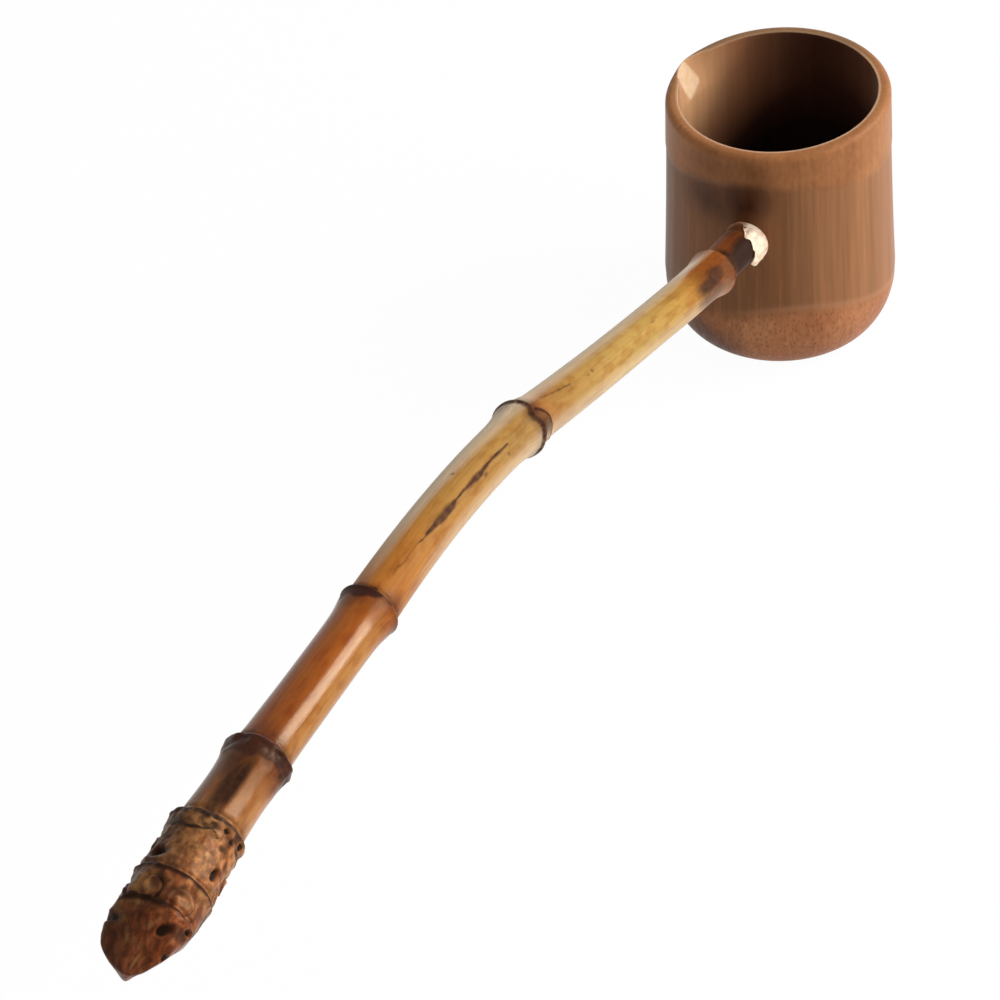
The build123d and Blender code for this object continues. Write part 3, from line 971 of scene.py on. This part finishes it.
def beadPoints(turn, swung):  # swung goes round the bead's section
    wide = np.interp(turn, bead["turns"], bead["widths"])
    high = np.interp(turn, bead["turns"], bead["heights"])
    out = cosOf(swung)
    lift = high * squared(sinOf(swung))
    radius = bead["inner"] + wide * (1 - bead["lean"] * lift / high) * squared(out)
    smooth = roundPoints(radius, turn, lift)
    rough = ease(high, 0.8, 3.0) * ease(lift / high, 0.1, 0.5)
    lift += bead["lumpRise"] * rough * lumps(smooth, 1.7, seed=51, stretch=4)
    crumbs = lumps(smooth, 2.0, seed=52) + 0.5 * lumps(smooth, 1.1, seed=53)
    radius += bead["lump"] * rough * np.clip(out, 0, 1) * crumbs
    across, above = radius * cosOf(turn), radius * sinOf(turn)
    # its foot lies on the round wall
    heading = math.radians(stem["jointHeading"])
    wall = np.sqrt(cup["waistRadius"] ** 2 - (stem["jointY"] + across) ** 2) - stem["jointX"]
    foot = (wall + above * math.sin(heading)) / math.cos(heading)
    place = foot * (1 - lift / np.maximum(high, lift)) - bead["sink"] + lift
    return atJoint(place, across, above)


def makeBead(material):
    rows, columns = bead["sides"], bead["section"]
    turns = np.linspace(-180, 180, rows, endpoint=False)
    swing = np.linspace(0, 360, columns, endpoint=False)
    turn, swung = [grid.ravel() for grid in np.meshgrid(turns, swing, indexing="ij")]
    faces = []
    for row, column in np.ndindex(rows, columns):
        here, there = row * columns, (row + 1) % rows * columns
        following = (column + 1) % columns
        faces.append((here + column, there + column, there + following, here + following))
    mesh = newMesh("puttyBead", beadPoints(turn, swung), faces)
    mesh.shade_smooth()
    paint(mesh, {"brownTop": bead["brownTop"] * ease(turn, *bead["brownTopRun"])})
    mesh.materials.append(material)
    print("bead packed:", len(faces), "faces")
    return newObject("puttyBead", mesh)


def puttyFinish():
    material, tree, shader = newFinish("palePutty")
    places = addNode(tree, "TexCoord").outputs["Object"]
    crumbs = grain(places, 900, (1, 1, 1), 4)
    cloud = grain(places, 260, (1, 1, 1))
    colour = rampTone(cloud, [(0.3, (186, 148, 120)), (0.5, (224, 198, 172)), (0.7, (238, 220, 198))])
    colour = dyed(colour, fit(crumbs, 0.3, 0.6, 0.8, 1.05))
    colour = mixTone(mask(tree, "brownTop"), colour, (160, 96, 60))  # browner thin edge near its top
    setSockets(shader, {"Base Color": colour, "Roughness": 0.75, "Normal": bump(crumbs, 0.0003, 0.6)})
    return material


def wedgeFinish():  # bare split bamboo, its fibres along the wedge
    material, tree, shader = newFinish("splitBamboo")
    places = addNode(tree, "TexCoord").outputs["Object"]
    fibre = grain(places, 1400, (0.03, 1, 1))
    colour = rampTone(fibre, [(0.3, (150, 110, 66)), (0.55, (200, 162, 108)), (0.75, (222, 190, 138))])
    setSockets(shader, {"Base Color": colour, "Roughness": 0.6, "Normal": bump(fibre, 0.0001, 0.5)})
    return material


# Floor, light and camera, in metres but for the floor
studio = {
    "floorHalf": 4000.0, "floorDrop": 0.5, "floorGrey": 0.9, "floorWhite": 0.97, "ambient": 0.26,
    "aim": (0.17, 0.0, 0.07),
}
# way from the object, distance, width and height, roll about the beam, power
lamps = namedRows("name way away size roll power", [
    ("keyLight", (-0.26, 0.80, 0.545), 1.2, (0.8, 0.8), 0, 11.0),
    ("stripLight", (-0.603, 0.683, 0.413), 1.2, (0.13, 0.66), -20, 9.8),
    ("topLight", (0.25, -0.10, 1.0), 1.4, (1.2, 1.2), 0, 3.5),
])
eye = {
    "lens": 162.0, "sensor": 36.0, "place": (0.93144, 0.39861, 0.83517),
    "right": (-0.42830, 0.90222, -0.05065), "up": (-0.61989, -0.25257, 0.74293),
}


def seenRays(tree):  # 1 for rays that show the surroundings: seen, mirrored or through glass
    path = addNode(tree, "LightPath")
    rays = [path.outputs[name] for name in ("Is Camera Ray", "Is Glossy Ray", "Is Transmission Ray")]
    return calc("MAXIMUM", *rays)


def makeFloor():
    half, grey = studio["floorHalf"], studio["floorGrey"]
    corners = [(-half, -half, 0), (half, -half, 0), (half, half, 0), (-half, half, 0)]
    mesh = newMesh("floor", corners, [(0, 1, 2, 3)])
    floor = newObject("floor", mesh)
    material, tree, shader = newFinish("whiteFloor")
    setSockets(shader, {"Base Color": (grey, grey, grey, 1), "Roughness": 1.0, "Specular IOR Level": 0.0})
    glow = addNode(tree, "Emission", {"Color": (1, 1, 1, 1), "Strength": 1.0})
    share = times(seenRays(tree), studio["floorWhite"])
    mixed = joinNode("MixShader", {0: share, 1: shader.outputs[0], 2: glow.outputs[0]})
    tree.links.new(mixed.outputs[0], tree.nodes["Material Output"].inputs["Surface"])
    mesh.materials.append(material)
    floor.location.z = -studio["floorDrop"] * mm


def makeLights():
    world = bpy.data.worlds.new("whiteRoom")
    world.use_nodes = True
    scene.world = world
    tree = world.node_tree
    strength = fit(seenRays(tree), 0.0, 1.0, studio["ambient"], 1.0)
    setSockets(tree.nodes["Background"], {"Color": (1, 1, 1, 1), "Strength": strength})
    aim = Vector(studio["aim"])
    for lamp in lamps:
        data = bpy.data.lights.new(lamp["name"], "AREA")
        data.shape = "RECTANGLE"
        data.size, data.size_y = lamp["size"]
        data.energy = lamp["power"]
        light = newObject(lamp["name"], data)
        way = Vector(lamp["way"]).normalized()
        light.location = aim + way * lamp["away"]
        rolled = Quaternion((0, 0, 1), math.radians(lamp["roll"]))
        light.rotation_euler = (way.to_track_quat("Z", "Y") @ rolled).to_euler()


def makeCamera():
    lens = bpy.data.cameras.new("photoView")
    lens.lens = eye["lens"]
    lens.sensor_width = eye["sensor"]
    camera = newObject("photoView", lens)
    right, up = Vector(eye["right"]), Vector(eye["up"])
    back = right.cross(up)
    turned = Matrix((right, up, back)).transposed().to_4x4()
    camera.matrix_world = Matrix.Translation(eye["place"]) @ turned
    scene.camera = camera


rootStem = makeStem(stemFinish())
culmCup = makeCup(cupFinish())
puttyBead = makeBead(puttyFinish())
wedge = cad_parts["tenon_wedge"]
wedge.data.materials.clear()
wedge.data.materials.append(wedgeFinish())
for piece, slot, node in [(rootStem, "stem_bamboo", "handle"), (culmCup, "cup_bamboo", "cup"),
                          (puttyBead, "joint_putty", "joint_seal")]:
    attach(piece, "root")
    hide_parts(node)
makeFloor()
makeLights()
makeCamera()
scene.view_settings.view_transform = "Standard"

print("scene ready")
